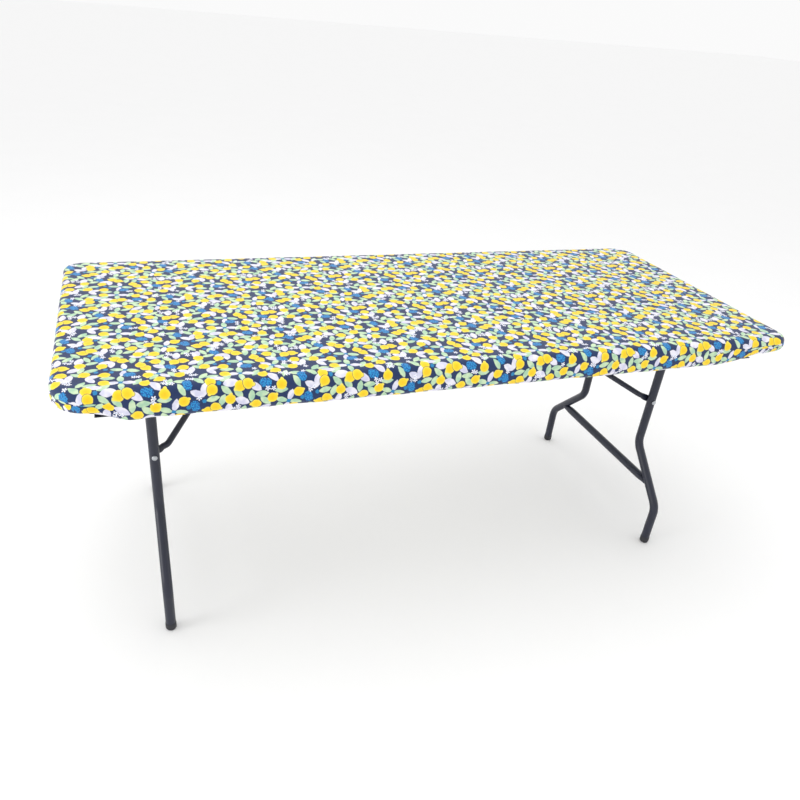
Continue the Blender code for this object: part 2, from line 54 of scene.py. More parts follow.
# Fitted cloth. The hem and elastic sections are places outwards and upwards from the tuck's end.
CLOTH_LOW, CLOTH_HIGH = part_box("cloth_panel")
HALF_LENGTH = CLOTH_HIGH[0]
HALF_WIDTH = CLOTH_HIGH[1]
CLOTH_TOP = CLOTH_HIGH[2] - 0.0004
SLAB_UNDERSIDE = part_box("table_top")[0][2]
SLAB_UNDER_EDGE = 0.006
SLAB_GAP = 0.0013
SHEET_THICKNESS = 0.0008
CORNER_RADIUS = 0.0723
FRONT_EDGE_RADIUS = 0.0195
OTHER_EDGE_RADIUS = 0.0155
RIGHT_END_SWELL = 0.0035
TUCK_START = 0.6900
TUCK_LOW = 0.6695
TUCK_WIDTH = 0.0185
TUCK_TURN = math.radians(112)
TUCK_STEPS = 12
TUCK_GAP = 0.0014
HEM_GAP = 0.0012
TOP_STEPS = 7
EDGE_STEPS = 8
WALL_STEPS = 4
LONG_CELLS = 210
SHORT_CELLS = 76
CORNER_CELLS = 24
HEM_CELLS = (560, 215, 26)

HEM_SECTION = (
    (0.0012, -0.0004),
    (-0.0020, -0.0012),
    (-0.0052, -0.0006),
    (-0.0068, 0.0015),
    (-0.0070, 0.0050),
    (-0.0062, 0.0078),
    (-0.0038, 0.0086),
    (-0.0010, 0.0080),
    (0.0002, 0.0050),
    (0.0006, 0.0018),
)
ELASTIC_SECTION = ((-0.0012, 0.0006), (-0.0052, 0.0010), (-0.0054, 0.0066), (-0.0014, 0.0064))

# Print
PRINT_REPEAT = 0.235
LEAF_ARC = 0.019
LEAF_REACH = 0.016
LEMON_RADIUS = 0.0108
LEMON_TIP_RADIUS = 0.0036
LEMON_TIP_REACH = 0.0107
CRESCENT = 0.0009
BERRY_RADIUS = 0.0088
STAR_GROUP_RADIUS = 0.0082
STAR_CELL = 0.0100
STAR_RADIUS = 0.0056
BUD_RADIUS = 0.0046
STAR_EYE = 0.0011
PRINT_BLUR = 0.0004
# Threads are about 0.3 mm apart, drawn at 0.9 mm so that they show.
THREAD_PITCH = 0.0009
LAYOUT_CELL = 0.0025
LAYOUT_TRIES = 120
SAME_KIND_GAP = 0.010
CROWDING = 1.0
MOST_HIDDEN = 0.36
LAYOUT_MARGIN = 0.001
SPOT_RADIUS = {
    "lemon": LEMON_RADIUS,
    "upper lemon": LEMON_RADIUS,
    "berries": BERRY_RADIUS,
    "stars": STAR_GROUP_RADIUS,
    "bud": BUD_RADIUS,
}

# Steel tube work
RING_SIDES = 32
LEG_BEND_RADIUS = 0.055
UPPER_BEND_HEIGHT = 0.2835
LOWER_BEND_HEIGHT = 0.1335
PIVOT_Z = 0.6775
RIVET_Z = 0.4345
CROSSBAR_Z = 0.1875
ANCHOR_PLACE = Vector((0.160, 0, 0.686))
ARM_BEND_RADIUS = 0.013
ARM_SLANT = math.radians(56.8)
ARM_LENGTH = 0.148


# --- small helpers -----------------------------------------------------------------------------


def srgb(hex_colour):
    """A linear colour from its sRGB hex value."""
    channels = [int(hex_colour[start : start + 2], 16) / 255 for start in (0, 2, 4)]
    return [c / 12.92 if c <= 0.04045 else ((c + 0.055) / 1.055) ** 2.4 for c in channels] + [1.0]


def add(tree, kind, inputs=None, **settings):
    """Adds a shader node with its settings, and its inputs as numbers or as links."""
    made = tree.nodes.new(kind)
    for name, value in settings.items():
        setattr(made, name, value)
    for socket, value in (inputs or {}).items():
        if isinstance(value, bpy.types.NodeSocket):
            tree.links.new(value, made.inputs[socket])
        else:
            made.inputs[socket].default_value = value
    return made


def new_material(name):
    """A material with an empty Principled BSDF, its node tree and that shader."""
    made = bpy.data.materials.new(name)
    made.use_nodes = True
    return made, made.node_tree, made.node_tree.nodes["Principled BSDF"]


# --- print layout ------------------------------------------------------------------------------


def leaf(kind, x, y, turn, width):
    """A pointed leaf: where two circles of the leaf arc overlap."""
    return (kind, x, y, turn, LEAF_ARC - width / 2)


def spot(kind, x, y, turn=0.0):
    """A round shape, which has no leaf gap."""
    return (kind, x, y, turn, None)


def lemon_pair(dice):
    lower = spot("lemon", -0.0085, 0, dice.uniform(2, 4))
    return [lower, spot("upper lemon", 0.0085, 0.002, dice.uniform(-1, 1))]


def single_lemon(dice):
    return [spot("lemon", 0, 0, dice.uniform(0, 2 * math.pi))]


def cross_spray(dice):
    made = [spot("bud", 0, 0)]
    for index in range(4):
        turn = math.pi / 2 * index + dice.uniform(-0.25, 0.25)
        kind = "white" if index % 2 else "green"
        width = dice.uniform(0.0115, 0.0140)
        made.append(leaf(kind, 0.0155 * math.cos(turn), 0.0155 * math.sin(turn), turn, width))
    return made


def green_sprig(dice):
    made = []
    for index, side in enumerate((-1, 1, 0)):
        turn = side * dice.uniform(0.7, 1.0)
        x = 0.013 * index + 0.011 * math.cos(turn)
        made.append(leaf("green", x, 0.011 * math.sin(turn), turn, dice.uniform(0.0115, 0.014)))
    return made


def white_twin(dice):
    spread = dice.uniform(0.55, 0.70)
    return [leaf("white", 0.013, side * 0.0075, side * spread, 0.0145) for side in (-1, 1)]


def single_white(dice):
    return [leaf("white", 0, 0, 0, dice.uniform(0.0145, 0.0175))]


def single_green(dice):
    return [leaf("green", 0, 0, 0, dice.uniform(0.0135, 0.0160))]


def berries_and_star(dice):
    return [spot("berries", 0, 0), spot("berries", 0.0065, 0.003), spot("stars", -0.014, 0.006)]


def star_group(dice):
    return [spot("stars", 0, 0), spot("stars", 0.009, 0.003)]


def small_bud(dice):
    return [spot("bud", 0, 0)]


MOTIFS = (
    (lemon_pair, 6),
    (single_lemon, 19),
    (berries_and_star, 6),
    (star_group, 5),
    (cross_spray, 5),
    (green_sprig, 9),
    (white_twin, 5),
    (single_white, 10),
    (single_green, 12),
    (small_bud, 8),
)


def placed(shapes, x, y, turn):
    """A motif's shapes moved to their place on the cloth."""
    made = []
    for kind, along, across, own_turn, gap in shapes:
        at_x = x + along * math.cos(turn) - across * math.sin(turn)
        at_y = y + along * math.sin(turn) + across * math.cos(turn)
        made.append((kind, at_x % PRINT_REPEAT, at_y % PRINT_REPEAT, own_turn + turn, gap))
    return made


def wrapped_distance(x, y, cells):
    """Distance from a point to every layout cell, measured over the repeat's edges."""
    half = PRINT_REPEAT / 2
    across = (cells[0] - x + half) % PRINT_REPEAT - half
    along = (cells[1] - y + half) % PRINT_REPEAT - half
    return np.sqrt(across * across + along * along)


def leaf_centres(x, y, turn, gap):
    """The centres of the two circles whose overlap is the leaf."""
    across = (-math.sin(turn) * gap, math.cos(turn) * gap)
    return (x + across[0], y + across[1]), (x - across[0], y - across[1])


def covered(shapes, cells, margin=0.0):
    """Which layout cells the shapes cover."""
    made = np.zeros(cells[0].shape, bool)
    for kind, x, y, turn, gap in shapes:
        if gap is None:
            made |= wrapped_distance(x, y, cells) < SPOT_RADIUS[kind] + margin
        else:
            one, other = [wrapped_distance(*c, cells) for c in leaf_centres(x, y, turn, gap)]
            made |= np.maximum(one, other) < LEAF_ARC + margin
    return made


def print_layout():
    """Every shape in one repeat of the print. Each motif takes the emptiest of several places."""
    dice = random.Random(4)
    axis = np.arange(0, PRINT_REPEAT, LAYOUT_CELL)
    cells = np.meshgrid(axis, axis)
    taken = np.zeros(cells[0].shape, bool)
    near_same = {kind: np.zeros(cells[0].shape, bool) for kind in ("lemon", "white", "green")}
    shapes = []
    for motif, count in MOTIFS:
        for _ in range(count):
            own = motif(dice)
            tries = []
            for index in range(LAYOUT_TRIES):
                x, y = dice.uniform(0, PRINT_REPEAT), dice.uniform(0, PRINT_REPEAT)
                tried = placed(own, x, y, dice.uniform(0, 2 * math.pi))
                area = covered(tried, cells, LAYOUT_MARGIN)
                kind = tried[0][0]
                crowding = (area & near_same[kind]).sum() if kind in near_same else 0
                hidden = (area & taken).sum() / area.sum()
                tries.append((hidden + CROWDING * crowding / area.sum(), hidden, index, tried))
            _, hidden, _, chosen = min(tries)
            if hidden < MOST_HIDDEN:
                taken |= covered(chosen, cells)
                for kind, crowded in near_same.items():
                    own = [shape for shape in chosen if kind in shape[0]]
                    crowded |= covered(own, cells, SAME_KIND_GAP)
                shapes += chosen
    return shapes


def over_the_edges(shapes, reach):
    """The shapes, with copies of those that cross an edge of the repeat."""
    made = []
    for kind, x, y, turn, gap in shapes:
        for step_x in (-PRINT_REPEAT, 0, PRINT_REPEAT):
            for step_y in (-PRINT_REPEAT, 0, PRINT_REPEAT):
                at_x, at_y = x + step_x, y + step_y
                if max(abs(v - PRINT_REPEAT / 2) for v in (at_x, at_y)) < PRINT_REPEAT / 2 + reach:
                    made.append((kind, at_x, at_y, turn, gap))
    return made


# --- cloth materials ---------------------------------------------------------------------------


def nearest(tree, place, spots):
    """Distance from place to the nearest of the spots."""
    running = None
    for x, y in spots:
        apart = add(tree, "ShaderNodeVectorMath", {0: place, 1: (x, y, 0)}, operation="DISTANCE")
        gap = apart.outputs["Value"]
        if running is not None:
            gap = add(tree, "ShaderNodeMath", {0: running, 1: gap}, operation="MINIMUM").outputs[0]
        running = gap
    return running


def nearest_leaf(tree, place, leaves):
    """Distance that falls below the leaf arc inside the nearest of the leaves."""
    running = None
    for _, x, y, turn, gap in leaves:
        sides = []
        for centre_x, centre_y in leaf_centres(x, y, turn, gap):
            at = (centre_x, centre_y, 0)
            apart = add(tree, "ShaderNodeVectorMath", {0: place, 1: at}, operation="DISTANCE")
            sides.append(apart.outputs["Value"])
        inside = add(tree, "ShaderNodeMath", {0: sides[0], 1: sides[1]}, operation="MAXIMUM")
        inside = inside.outputs[0]
        if running is not None:
            lower = {0: running, 1: inside}
            inside = add(tree, "ShaderNodeMath", lower, operation="MINIMUM").outputs[0]
        running = inside
    return running


def printed(tree, under, ink, distance, radius):
    """An ink laid over the cloth inside an outline, with a slightly soft printed edge."""
    soft = {"Value": distance, 1: radius - PRINT_BLUR, 2: radius + PRINT_BLUR, 3: 1.0, 4: 0.0}
    mask = add(tree, "ShaderNodeMapRange", soft).outputs[0]
    mixed = {0: mask, 6: under, 7: ink}
    return add(tree, "ShaderNodeMix", mixed, data_type="RGBA").outputs[2]


def weave_height(tree, cut, pitch):
    """Height of a plain weave: crossed threads, one pitch apart."""
    apart = add(tree, "ShaderNodeSeparateXYZ", {0: cut})
    turns = 2 * math.pi / pitch
    waves = []
    for axis in (0, 1):
        scaled = {0: apart.outputs[axis], 1: turns}
        angle = add(tree, "ShaderNodeMath", scaled, operation="MULTIPLY").outputs[0]
        waves.append(add(tree, "ShaderNodeMath", {0: angle}, operation="SINE").outputs[0])
    return add(tree, "ShaderNodeMath", {0: waves[0], 1: waves[1]}, operation="MULTIPLY").outputs[0]


def printed_polyester():
    """Woven polyester, heat-printed: saturated inks in a smooth cloth that greys at low angles."""
    made, tree, shader = new_material("printed_polyester")
    shapes = print_layout()
    kinds = {}
    for kind in ("green", "white", "lemon", "upper lemon", "berries", "stars", "bud"):
        reach = SPOT_RADIUS.get(kind, LEAF_REACH)
        own = [shape for shape in shapes if shape[0] == kind]
        kinds[kind] = over_the_edges(own, reach)
    cut = add(tree, "ShaderNodeUVMap", uv_map="cut").outputs[0]

    # The drawn outlines wander by about half a millimetre.
    wander = add(tree, "ShaderNodeTexNoise", {"Vector": cut, "Scale": 160.0, "Detail": 1.0})
    centred = add(
        tree,
        "ShaderNodeVectorMath",
        {0: wander.outputs["Color"], 1: (-0.5, -0.5, -0.5)},
    )
    small = {0: centred.outputs[0], 1: (0.0024, 0.0024, 0.0)}
    shift = add(tree, "ShaderNodeVectorMath", small, operation="MULTIPLY").outputs[0]
    drawn = add(tree, "ShaderNodeVectorMath", {0: cut, 1: shift}).outputs[0]
    repeat = (PRINT_REPEAT, PRINT_REPEAT, 1.0)
    wrap = {0: drawn, 1: repeat, 2: (0.0, 0.0, 0.0)}
    place = add(tree, "ShaderNodeVectorMath", wrap, operation="WRAP").outputs[0]

    # Ground
    cloud = add(tree, "ShaderNodeTexNoise", {"Vector": cut, "Scale": 45.0, "Detail": 3.0})
    mixed = {0: cloud.outputs[0], 6: srgb("0A2450"), 7: srgb("143365")}
    colour = add(tree, "ShaderNodeMix", mixed, data_type="RGBA").outputs[2]

    # Green leaves, from a yellower to a bluer green
    shade = add(tree, "ShaderNodeTexNoise", {"Vector": cut, "Scale": 60.0, "Detail": 1.0})
    steep = {"Value": shade.outputs[0], 1: 0.38, 2: 0.62}
    shade = add(tree, "ShaderNodeMapRange", steep).outputs[0]
    distance = nearest_leaf(tree, place, kinds["green"])
    mixed = {0: shade, 6: srgb("CDE4BC"), 7: srgb("A9D0B0")}
    tint = add(tree, "ShaderNodeMix", mixed, data_type="RGBA").outputs[2]
    colour = printed(tree, colour, tint, distance, LEAF_ARC)

    # White leaves, with a lavender shade
    distance = nearest_leaf(tree, place, kinds["white"])
    mixed = {0: shade, 6: srgb("EDEBF5"), 7: srgb("D3D3E9")}
    tint = add(tree, "ShaderNodeMix", mixed, data_type="RGBA").outputs[2]
    colour = printed(tree, colour, tint, distance, LEAF_ARC)

    # Lemons: golden middle, paler rim, mottled peel, and a small pointed end
    peel = add(tree, "ShaderNodeTexNoise", {"Vector": cut, "Scale": 420.0, "Detail": 2.0})
    peel = peel.outputs[0]
    for kind in ("lemon", "upper lemon"):
        spots = [(x, y) for _, x, y, _, _ in kinds[kind]]
        tips = []
        for _, x, y, turn, _ in kinds[kind]:
            tips.append((x + LEMON_TIP_REACH * math.cos(turn), y + LEMON_TIP_REACH * math.sin(turn)))
        distance = nearest(tree, place, spots)
        tip = nearest(tree, place, tips)
        longer = {0: tip, 1: LEMON_RADIUS - LEMON_TIP_RADIUS}
        tip = add(tree, "ShaderNodeMath", longer).outputs[0]
        soft = {0: distance, 1: tip, 2: 0.0012}
        rind = add(tree, "ShaderNodeMath", soft, operation="SMOOTH_MIN").outputs[0]
        if kind == "upper lemon":
            colour = printed(tree, colour, srgb("3B4358"), rind, LEMON_RADIUS + CRESCENT)
        mottled = {0: peel, 1: 0.004, 2: distance}
        depth = add(tree, "ShaderNodeMath", mottled, operation="MULTIPLY_ADD").outputs[0]
        depth = add(tree, "ShaderNodeMapRange", {"Value": depth, 1: 0.001, 2: 0.0145}).outputs[0]
        tint = add(tree, "ShaderNodeValToRGB", {0: depth})
        tint.color_ramp.elements[0].color = srgb("F6C818")
        tint.color_ramp.elements[1].color = srgb("FFE860")
        tint.color_ramp.elements.new(0.62).color = srgb("FBD820")
        colour = printed(tree, colour, tint.outputs[0], rind, LEMON_RADIUS)

    # Blue berry clusters, ragged and mottled
    ragged = {0: peel, 1: 0.007, 2: nearest(tree, place, [s[1:3] for s in kinds["berries"]])}
    distance = add(tree, "ShaderNodeMath", ragged, operation="MULTIPLY_ADD").outputs[0]
    dots = add(tree, "ShaderNodeTexVoronoi", {"Vector": cut, "Scale": 330.0}, voronoi_dimensions="2D")
    dots = add(tree, "ShaderNodeMapRange", {"Value": dots.outputs["Distance"], 1: 0.2, 2: 0.6})
    mixed = {0: dots.outputs[0], 6: srgb("279CD6"), 7: srgb("0E5AA4")}
    tint = add(tree, "ShaderNodeMix", mixed, data_type="RGBA").outputs[2]
    colour = printed(tree, colour, tint, distance, BERRY_RADIUS + 0.0035)

    # Small blue buds
    distance = nearest(tree, place, [s[1:3] for s in kinds["bud"]])
    ragged = {0: peel, 1: 0.004, 2: distance}
    distance = add(tree, "ShaderNodeMath", ragged, operation="MULTIPLY_ADD").outputs[0]
    colour = printed(tree, colour, srgb("1D80B8"), distance, BUD_RADIUS + 0.002)

    # White stars: one five-petal flower in each cell near a star place
    cells = add(
        tree,
        "ShaderNodeTexVoronoi",
        {"Vector": cut, "Scale": 1 / STAR_CELL, "Randomness": 0.6},
        voronoi_dimensions="2D",
    )
    wrap = {0: cells.outputs["Position"], 1: repeat, 2: (0.0, 0.0, 0.0)}
    cell_place = add(tree, "ShaderNodeVectorMath", wrap, operation="WRAP").outputs[0]
    chosen = nearest(tree, cell_place, [s[1:3] for s in kinds["stars"]])
    low, high = STAR_GROUP_RADIUS - 0.00001, STAR_GROUP_RADIUS + 0.00001
    sharp = {"Value": chosen, 1: low, 2: high, 3: 1.0, 4: 0.0}
    chosen = add(tree, "ShaderNodeMapRange", sharp).outputs[0]
    own = {0: cut, 1: cells.outputs["Position"]}
    own = add(tree, "ShaderNodeVectorMath", own, operation="SUBTRACT").outputs[0]
    parts = add(tree, "ShaderNodeSeparateXYZ", {0: own})
    length = add(tree, "ShaderNodeVectorMath", {0: own}, operation="LENGTH").outputs["Value"]
    sides = {0: parts.outputs[1], 1: parts.outputs[0]}
    angle = add(tree, "ShaderNodeMath", sides, operation="ARCTAN2").outputs[0]
    turned = {0: angle, 1: 2.5, 2: cells.outputs["Color"]}
    angle = add(tree, "ShaderNodeMath", turned, operation="MULTIPLY_ADD").outputs[0]
    petal = add(tree, "ShaderNodeMath", {0: angle}, operation="COSINE").outputs[0]
    petal = add(tree, "ShaderNodeMath", {0: petal}, operation="ABSOLUTE").outputs[0]
    edge = {0: petal, 1: STAR_RADIUS, 2: 0.0006}
    edge = add(tree, "ShaderNodeMath", edge, operation="MULTIPLY_ADD").outputs[0]
    past = add(tree, "ShaderNodeMath", {0: length, 1: edge}, operation="SUBTRACT").outputs[0]
    soft = {"Value": past, 1: -PRINT_BLUR, 2: PRINT_BLUR, 3: 1.0, 4: 0.0}
    petals = add(tree, "ShaderNodeMapRange", soft).outputs[0]
    star = add(tree, "ShaderNodeMath", {0: petals, 1: chosen}, operation="MULTIPLY").outputs[0]
    mixed = {0: star, 6: colour, 7: srgb("F3F3FB")}
    colour = add(tree, "ShaderNodeMix", mixed, data_type="RGBA").outputs[2]
    soft = {"Value": length, 1: STAR_EYE - PRINT_BLUR, 2: STAR_EYE + PRINT_BLUR, 3: 1.0, 4: 0.0}
    eye = add(tree, "ShaderNodeMapRange", soft).outputs[0]
    eye = add(tree, "ShaderNodeMath", {0: eye, 1: chosen}, operation="MULTIPLY").outputs[0]
    mixed = {0: eye, 6: colour, 7: srgb("7FA6D8")}
    colour = add(tree, "ShaderNodeMix", mixed, data_type="RGBA").outputs[2]

    tree.links.new(colour, shader.inputs["Base Color"])
    shader.inputs["Roughness"].default_value = 0.58
    shader.inputs["Specular IOR Level"].default_value = 0.4
    shader.inputs["Sheen Weight"].default_value = 0.22
    shader.inputs["Sheen Roughness"].default_value = 0.40
    shader.inputs["Sheen Tint"].default_value = srgb("F6E8EC")
    height = weave_height(tree, cut, THREAD_PITCH)
    bump = add(tree, "ShaderNodeBump", {"Strength": 0.25, "Distance": 0.00012, "Height": height})
    tree.links.new(bump.outputs[0], shader.inputs["Normal"])
    return made


def plain_polyester(name, hex_colour, other_hex):
    """Unprinted woven polyester, as the cloth's back and the elastic: pale, dull, faintly clouded."""
    made, tree, shader = new_material(name)
    cut = add(tree, "ShaderNodeUVMap", uv_map="cut").outputs[0]
    cloud = add(tree, "ShaderNodeTexNoise", {"Vector": cut, "Scale": 55.0, "Detail": 2.0})
    mixed = {0: cloud.outputs[0], 6: srgb(hex_colour), 7: srgb(other_hex)}
    colour = add(tree, "ShaderNodeMix", mixed, data_type="RGBA").outputs[2]
    tree.links.new(colour, shader.inputs["Base Color"])
    shader.inputs["Roughness"].default_value = 0.75
    shader.inputs["Sheen Weight"].default_value = 0.2
    height = weave_height(tree, cut, THREAD_PITCH)
    bump = add(tree, "ShaderNodeBump", {"Strength": 0.3, "Distance": 0.00012, "Height": height})
    tree.links.new(bump.outputs[0], shader.inputs["Normal"])
    return made


# --- hard materials ----------------------------------------------------------------------------


def powder_coated_steel():
    """Charcoal polyester powder, sprayed and baked: an even satin film with a fine orange peel."""
    made, tree, shader = new_material("powder_coated_steel")
    place = add(tree, "ShaderNodeTexCoord").outputs["Object"]
    cloud = add(tree, "ShaderNodeTexNoise", {"Vector": place, "Scale": 30.0, "Detail": 3.0})
    mixed = {0: cloud.outputs[0], 6: srgb("161A29"), 7: srgb("212538")}
    colour = add(tree, "ShaderNodeMix", mixed, data_type="RGBA").outputs[2]
    tree.links.new(colour, shader.inputs["Base Color"])
    worn = {"Value": cloud.outputs[0], 3: 0.28, 4: 0.42}
    worn = add(tree, "ShaderNodeMapRange", worn).outputs[0]
    tree.links.new(worn, shader.inputs["Roughness"])
    # The peel's ripples are about 1 mm across.
    peel = add(tree, "ShaderNodeTexNoise", {"Vector": place, "Scale": 900.0, "Detail": 2.0})
    raised = {"Strength": 0.25, "Distance": 0.0001, "Height": peel.outputs[0]}
    bump = add(tree, "ShaderNodeBump", raised)
    tree.links.new(bump.outputs[0], shader.inputs["Normal"])
    return made


def zinc_plate():
    """Bright zinc on pressed steel: a grey metal, slightly blotched in colour and gloss."""
    made, tree, shader = new_material("zinc_plate")
    place = add(tree, "ShaderNodeTexCoord").outputs["Object"]
    cloud = add(tree, "ShaderNodeTexNoise", {"Vector": place, "Scale": 260.0, "Detail": 3.0})
    mixed = {0: cloud.outputs[0], 6: srgb("A9ADB3"), 7: srgb("C3C6CA")}
    colour = add(tree, "ShaderNodeMix", mixed, data_type="RGBA").outputs[2]
    tree.links.new(colour, shader.inputs["Base Color"])
    shader.inputs["Metallic"].default_value = 1.0
    rough = add(tree, "ShaderNodeMapRange", {"Value": cloud.outputs[0], 3: 0.28, 4: 0.46})
    tree.links.new(rough.outputs[0], shader.inputs["Roughness"])
    return made


def moulded_hdpe():
    """Blow-moulded high-density polyethylene: off-white, waxy, with a fine pebble grain."""
    made, tree, shader = new_material("moulded_hdpe")
    place = add(tree, "ShaderNodeTexCoord").outputs["Object"]
    speckle = add(tree, "ShaderNodeTexNoise", {"Vector": place, "Scale": 700.0, "Detail": 2.0})
    mixed = {0: speckle.outputs[0], 6: srgb("D2D1C9"), 7: srgb("E0DFD8")}
    colour = add(tree, "ShaderNodeMix", mixed, data_type="RGBA").outputs[2]
    tree.links.new(colour, shader.inputs["Base Color"])
    shader.inputs["Roughness"].default_value = 0.5
    # Pebbles are about 1.5 mm across.
    grain = add(tree, "ShaderNodeTexVoronoi", {"Vector": place, "Scale": 650.0})
    raised = {"Strength": 0.35, "Distance": 0.0002, "Height": grain.outputs["Distance"]}
    bump = add(tree, "ShaderNodeBump", raised)
    tree.links.new(bump.outputs[0], shader.inputs["Normal"])
    return made


def foot_plastic():
    """Injection-moulded black polyethylene: dull, with light scuffs from the floor."""
    made, tree, shader = new_material("foot_plastic")
    place = add(tree, "ShaderNodeTexCoord").outputs["Object"]
    scuffs = add(tree, "ShaderNodeTexNoise", {"Vector": place, "Scale": 350.0, "Detail": 4.0})
    mixed = {0: scuffs.outputs[0], 6: srgb("1F2025"), 7: srgb("2D2E34")}
    colour = add(tree, "ShaderNodeMix", mixed, data_type="RGBA").outputs[2]
    tree.links.new(colour, shader.inputs["Base Color"])
    shader.inputs["Roughness"].default_value = 0.55
    raised = {"Strength": 0.3, "Distance": 0.0001, "Height": scuffs.outputs[0]}
    bump = add(tree, "ShaderNodeBump", raised)
    tree.links.new(bump.outputs[0], shader.inputs["Normal"])
    return made


# --- cloth shape -------------------------------------------------------------------------------


def outline(long_cells, short_cells, corner_cells):
    """Stations round the cloth: base point, outward direction, walked distance, side and step.

    The step counts round the corner that ends the side, and is -1 along the side itself.
    """
    far_x, far_y = HALF_LENGTH - CORNER_RADIUS, HALF_WIDTH - CORNER_RADIUS
    corners = ((-far_x, -far_y), (far_x, -far_y), (far_x, far_y), (-far_x, far_y))
    rows = []
    walked = 0.0
    for side in range(4):
        start, end = Vector(corners[side]), Vector(corners[(side + 1) % 4])
        cells = (long_cells, short_cells)[side % 2]
        facing = -math.pi / 2 + side * math.pi / 2
        length = (end - start).length
        for step in range(cells + 1):
            at = start.lerp(end, step / cells)
            rows.append((at[0], at[1], math.cos(facing), math.sin(facing), walked, side, -1))
            walked += length / cells if step < cells else 0
        for step in range(1, corner_cells):
            walked += CORNER_RADIUS * math.pi / 2 / corner_cells
            angle = facing + math.pi / 2 * step / corner_cells
            rows.append((end[0], end[1], math.cos(angle), math.sin(angle), walked, side, step))
        walked += CORNER_RADIUS * math.pi / 2 / corner_cells
    return np.array(rows), walked


# Where the hem hangs lower (metres) than elsewhere: side, place along it, its width and the drop
HEM_DROPS = (
    (0, -0.775, 0.035, 0.0040),
    (0, -0.733, 0.015, -0.0020),
    (0, -0.300, 0.200, -0.0005),
    (0, 0.350, 0.150, 0.0010),
    (2, 0.300, 0.250, 0.0015),
    (2, -0.500, 0.180, 0.0010),
)
# Where the cloth's pale back shows at the hem, drawn by giving the back's material to the tuck's outer face,
# which is not rolled: side, place along it and half its length
HEM_ROLLS = ((0, -0.733, 0.018), (0, 0.530, 0.024))
ROLL_RINGS = (4, 7)
# At each corner: how far the hem is drawn up, and the radius the cloth takes over the slab's corner
CORNER_LIFT = (0.024, 0.025, 0.011, 0.009)
CORNER_LIFT_REACH = (0.118, 0.150, 0.120, 0.120)
CORNER_FIT = (0.0723, 0.036, 0.066, 0.046)


def near_corner(rows, reaches, power):
    """1 in the middle of each corner, falling to 0 along the sides, for each of the four corners."""
    far_x, far_y = HALF_LENGTH, HALF_WIDTH
    at_x = rows[:, 0] + rows[:, 2] * CORNER_RADIUS
    at_y = rows[:, 1] + rows[:, 3] * CORNER_RADIUS
    shares = []
    corners = ((-far_x, -far_y), (far_x, -far_y), (far_x, far_y), (-far_x, far_y))
    for (corner_x, corner_y), reach in zip(corners, reaches):
        gap = np.hypot(at_x - corner_x, at_y - corner_y)
        shares.append(np.exp(-((gap / reach) ** power)))
    return np.array(shares)


def stand_off(rows):
    """How far the cloth's edge is beyond the slab's corner arc, where it bridges the corner."""
    made = np.zeros(len(rows))
    for index, (_, _, out_x, out_y, _, side, step) in enumerate(rows):
        if step < 0:
            continue
        gap = CORNER_RADIUS - CORNER_FIT[(int(side) + 1) % 4]
        across, along = sorted((abs(out_x), abs(out_y)))
        if across / along < gap / CORNER_RADIUS:
            reach = CORNER_RADIUS / along
        else:
            lean = gap * (across + along)
            reach = lean + math.sqrt(lean**2 - 2 * gap**2 + (CORNER_RADIUS - gap) ** 2)
        made[index] = reach - CORNER_RADIUS
    return made


def hem_lift(rows):
    """How far the lowest line of the cloth is above its usual height, at each station."""
    corner = near_corner(rows, CORNER_LIFT_REACH, 4)
    lift = (np.array(CORNER_LIFT)[:, None] * corner).sum(0)
    walked = rows[:, 4]
    lift += 0.0006 * np.sin(walked * 2 * np.pi / 0.173) + 0.0004 * np.sin(walked * 2 * np.pi / 0.097)
    for side, place, width, drop in HEM_DROPS:
        along = rows[:, 0] if side % 2 == 0 else rows[:, 1]
        on_side = (rows[:, 5] == side) & (rows[:, 6] < 0)
        lift -= on_side * drop * np.exp(-(((along - place) / width) ** 2))
    return lift


def gathers(rows):
    """Small upright folds drawn in by the elastic: slight on the sides, deep at the corners."""
    corner = near_corner(rows, (0.075,) * 4, 2).sum(0)
    walked = rows[:, 4]
    wander = 1.3 * np.sin(walked * 2 * np.pi / 0.231) + 0.9 * np.sin(walked * 2 * np.pi / 0.077)
    side_folds = np.sin(walked * 2 * np.pi / 0.034 + wander)
    corner_folds = np.sin(walked * 2 * np.pi / 0.0135 + wander)
    return 0.0005 * side_folds * (1 - corner), 0.0011 * corner_folds * corner


